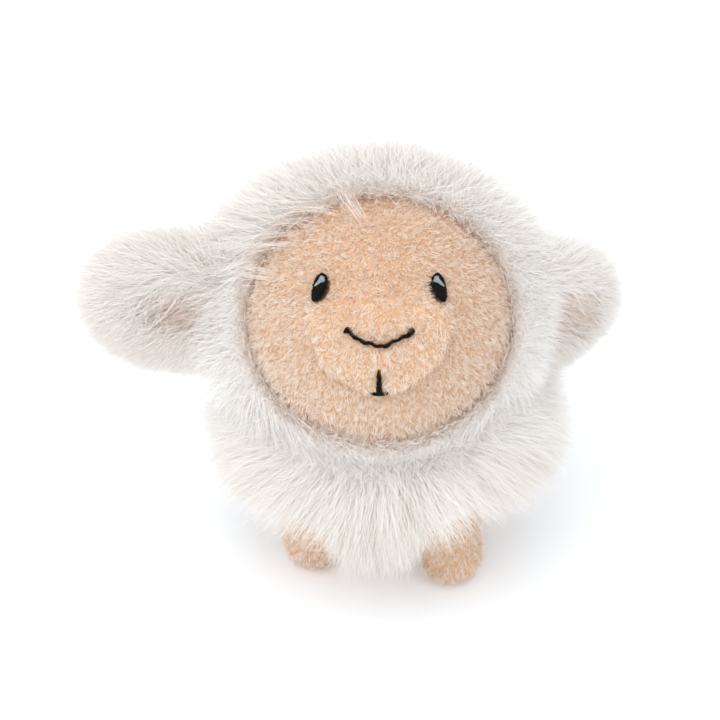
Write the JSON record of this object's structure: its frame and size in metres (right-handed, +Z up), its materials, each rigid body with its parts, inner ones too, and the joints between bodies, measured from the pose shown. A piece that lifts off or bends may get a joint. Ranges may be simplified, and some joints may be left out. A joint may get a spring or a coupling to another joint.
{
  "type": "plush sheep",
  "caption": "Standing plush sheep with a long-pile body, hood and ears, and short-pile tan face and legs; its head, ears, legs and tail flex at their seams.",
  "frame": {"origin": "on the floor, below the middle of the outside box", "axes": "+Z up, the sheep faces -Y, and its own left side is at +X"},
  "size_m": [0.18, 0.1596, 0.1715],
  "materials": {
    "long_pile": "long fluffy pile",
    "short_pile": "short curly pile",
    "ear_lining": "short pile",
    "black_thread": "satin stitch",
    "grey_thread": "satin stitch",
    "stuffing": "loose fibre"
  },
  "bodies": {
    "body": {"belly_cover": "long_pile", "body_left_cover": "long_pile", "body_right_cover": "long_pile", "body_stuffing": "stuffing"},
    "head": {"hood_left_cover": "long_pile", "hood_right_cover": "long_pile", "face_cover": "short_pile", "head_stuffing": "stuffing", "nose_stitches": "black_thread", "philtrum_stitches": "black_thread", "mouth_stitches": "black_thread", "left_eye": "black_thread", "left_eye_highlight": "grey_thread", "right_eye": "black_thread", "right_eye_highlight": "grey_thread"},
    "left_ear": {"left_ear_cover": "long_pile", "left_ear_lining": "ear_lining"},
    "right_ear": {"right_ear_cover": "long_pile", "right_ear_lining": "ear_lining"},
    "front_left_leg": {"front_left_leg_outer_cover": "short_pile", "front_left_leg_inner_cover": "short_pile", "front_left_leg_stuffing": "stuffing"},
    "front_right_leg": {"front_right_leg_outer_cover": "short_pile", "front_right_leg_inner_cover": "short_pile", "front_right_leg_stuffing": "stuffing"},
    "rear_left_leg": {"rear_left_leg_outer_cover": "short_pile", "rear_left_leg_inner_cover": "short_pile", "rear_left_leg_stuffing": "stuffing"},
    "rear_right_leg": {"rear_right_leg_outer_cover": "short_pile", "rear_right_leg_inner_cover": "short_pile", "rear_right_leg_stuffing": "stuffing"},
    "tail": {"tail_upper_cover": "long_pile", "tail_under_cover": "long_pile"}
  },
  "joints": [
    {"name": "head_turn", "type": "hinge", "parent": "body", "child": "head", "pos_m": [0.0097, -0.027, 0.11153], "axis": [0, 0, 1], "range_deg": [-20, 20], "stiffness_Nm_per_rad": 0.1},
    {"name": "left_ear_raise", "type": "hinge", "parent": "head", "child": "left_ear", "pos_m": [0.05562, -0.01313, 0.11303], "axis": [0.7314, -0.682, 0], "range_deg": [-14, 25], "stiffness_Nm_per_rad": 0.05},
    {"name": "right_ear_raise", "type": "hinge", "parent": "head", "child": "right_ear", "pos_m": [-0.03811, -0.02298, 0.11303], "axis": [-0.0174, 0.9998, 0], "range_deg": [-14, 25], "stiffness_Nm_per_rad": 0.05},
    {"name": "front_left_leg_swing", "type": "hinge", "parent": "body", "child": "front_left_leg", "pos_m": [0.0357, -0.02143, 0.02713], "axis": [0.9976, 0.0061, 0.0695], "range_deg": [-15, 15], "stiffness_Nm_per_rad": 0.15},
    {"name": "front_right_leg_swing", "type": "hinge", "parent": "body", "child": "front_right_leg", "pos_m": [-0.0163, -0.02143, 0.02713], "axis": [0.9976, -0.0061, 0.0695], "range_deg": [-15, 15], "stiffness_Nm_per_rad": 0.15},
    {"name": "rear_left_leg_swing", "type": "hinge", "parent": "body", "child": "rear_left_leg", "pos_m": [0.0357, 0.02757, 0.02713], "axis": [1, 0, 0], "range_deg": [-15, 15], "stiffness_Nm_per_rad": 0.15},
    {"name": "rear_right_leg_swing", "type": "hinge", "parent": "body", "child": "rear_right_leg", "pos_m": [-0.0163, 0.02757, 0.02713], "axis": [1, 0, 0], "range_deg": [-15, 15], "stiffness_Nm_per_rad": 0.15},
    {"name": "tail_lift", "type": "hinge", "parent": "body", "child": "tail", "pos_m": [0.0097, 0.05517, 0.06], "axis": [1, 0, 0], "range_deg": [-20, 20], "stiffness_Nm_per_rad": 0.02}
  ]
}
